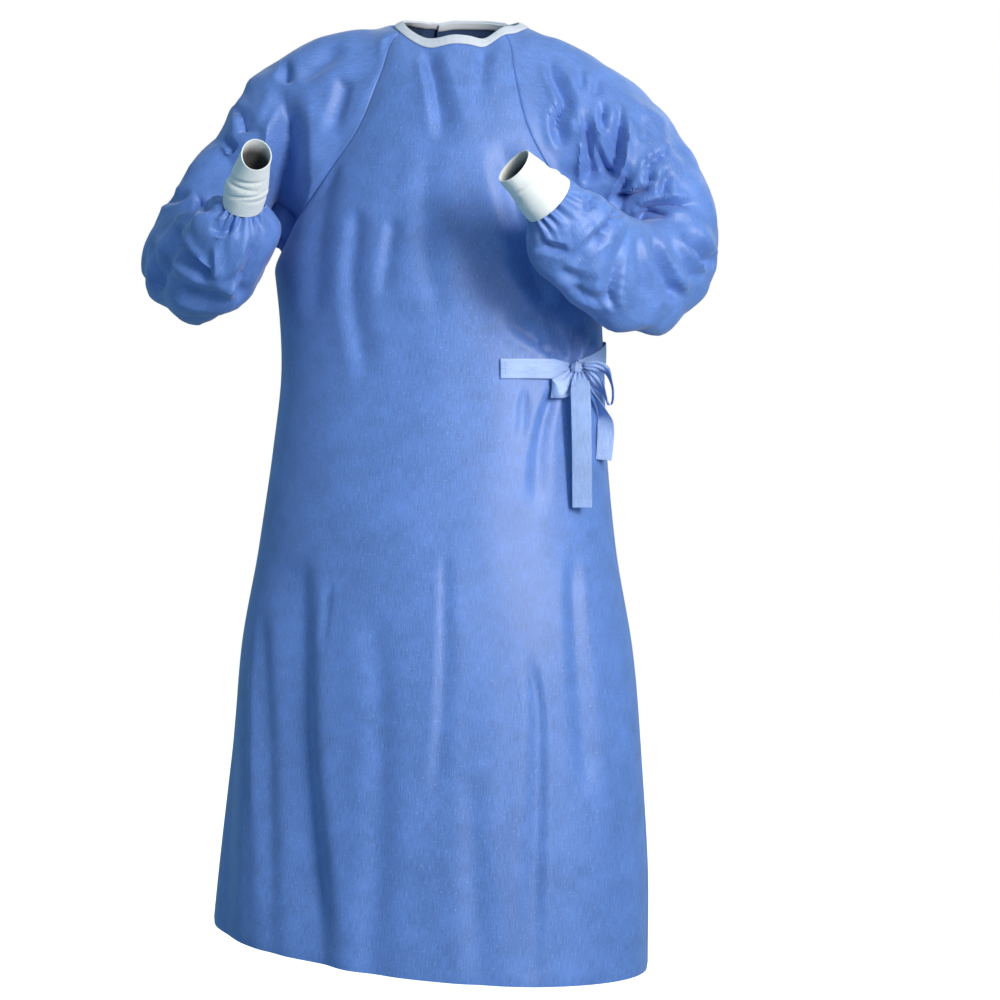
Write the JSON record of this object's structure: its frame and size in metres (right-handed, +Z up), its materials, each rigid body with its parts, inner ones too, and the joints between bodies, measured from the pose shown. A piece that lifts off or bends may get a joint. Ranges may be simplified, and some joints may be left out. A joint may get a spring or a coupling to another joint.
{
  "type": "surgical gown",
  "caption": "Long-sleeved wrap-over surgical gown, filled out as worn and open at neck, cuffs and hem, with knitted cuffs and a side bow.",
  "frame": {"origin": "middle of the neck opening, level with the neck points of the shoulders, where the wearer's neck and shoulders hold the gown", "axes": "+Z up, the front faces -Y, and +X is the wearer's left"},
  "size_m": [0.7571, 0.4907, 1.2338],
  "materials": {
    "gown_cloth": "soft blue nonwoven cloth, matt, with fine lengthwise streaks",
    "cuff_knit": "white fine rib knit",
    "binding_tape": "white bias tape, stitched",
    "tie_cloth": "lighter blue nonwoven strap with stitched hems"
  },
  "bodies": {
    "root": {"front": "gown_cloth", "back_right_outer": "gown_cloth", "back_left_inner": "gown_cloth", "sleeve_right": "gown_cloth", "sleeve_left": "gown_cloth", "cuff_right": "cuff_knit", "cuff_left": "cuff_knit", "neck_binding": "binding_tape", "tie_front": "tie_cloth", "tie_side": "tie_cloth", "tie_knot": "tie_cloth", "bow_loop_front": "tie_cloth", "bow_loop_side": "tie_cloth", "bow_tail_front": "tie_cloth", "bow_tail_side": "tie_cloth"}
  },
  "joints": []
}
